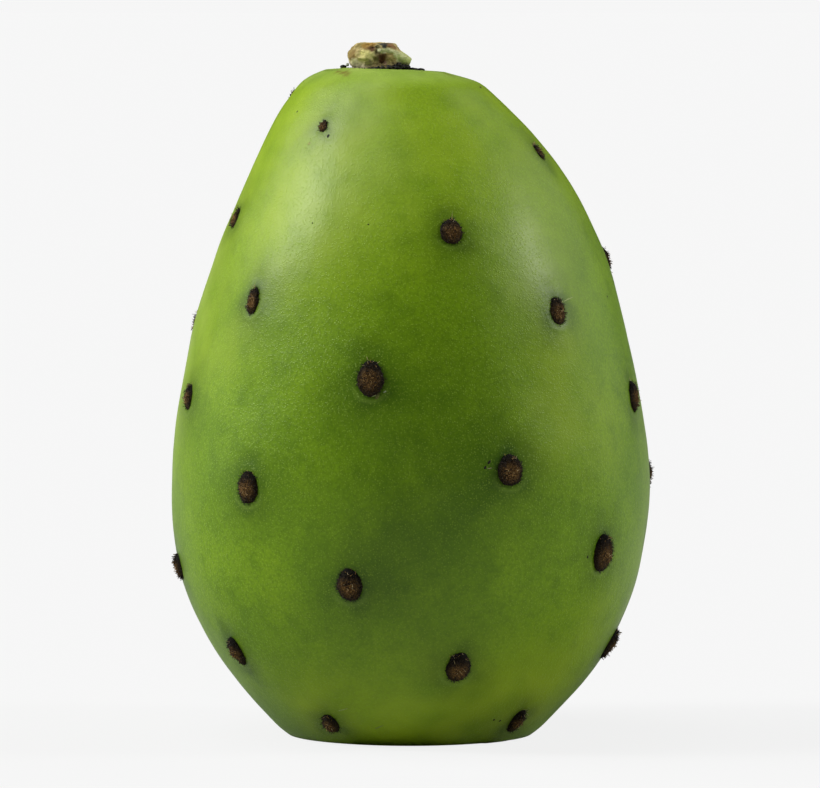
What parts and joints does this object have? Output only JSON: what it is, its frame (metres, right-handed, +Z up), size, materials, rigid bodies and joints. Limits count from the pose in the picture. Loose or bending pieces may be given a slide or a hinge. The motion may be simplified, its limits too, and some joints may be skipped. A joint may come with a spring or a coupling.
{
  "type": "prickly pear fruit",
  "caption": "Egg-shaped green prickly pear fruit standing on its broad flower end, with felted brown areoles in spiral rows and a dried stem stub on top.",
  "frame": {"origin": "on the surface that the fruit stands on, under its axis", "axes": "+Z up along the fruit, from the flower end to the stem stub; the side in view faces -Y"},
  "size_m": [0.0579, 0.058, 0.0835],
  "materials": {
    "skin": "satin",
    "cork": "matte"
  },
  "bodies": {
    "root": {"fruit": "skin", "stem_stub": "cork"}
  },
  "joints": []
}
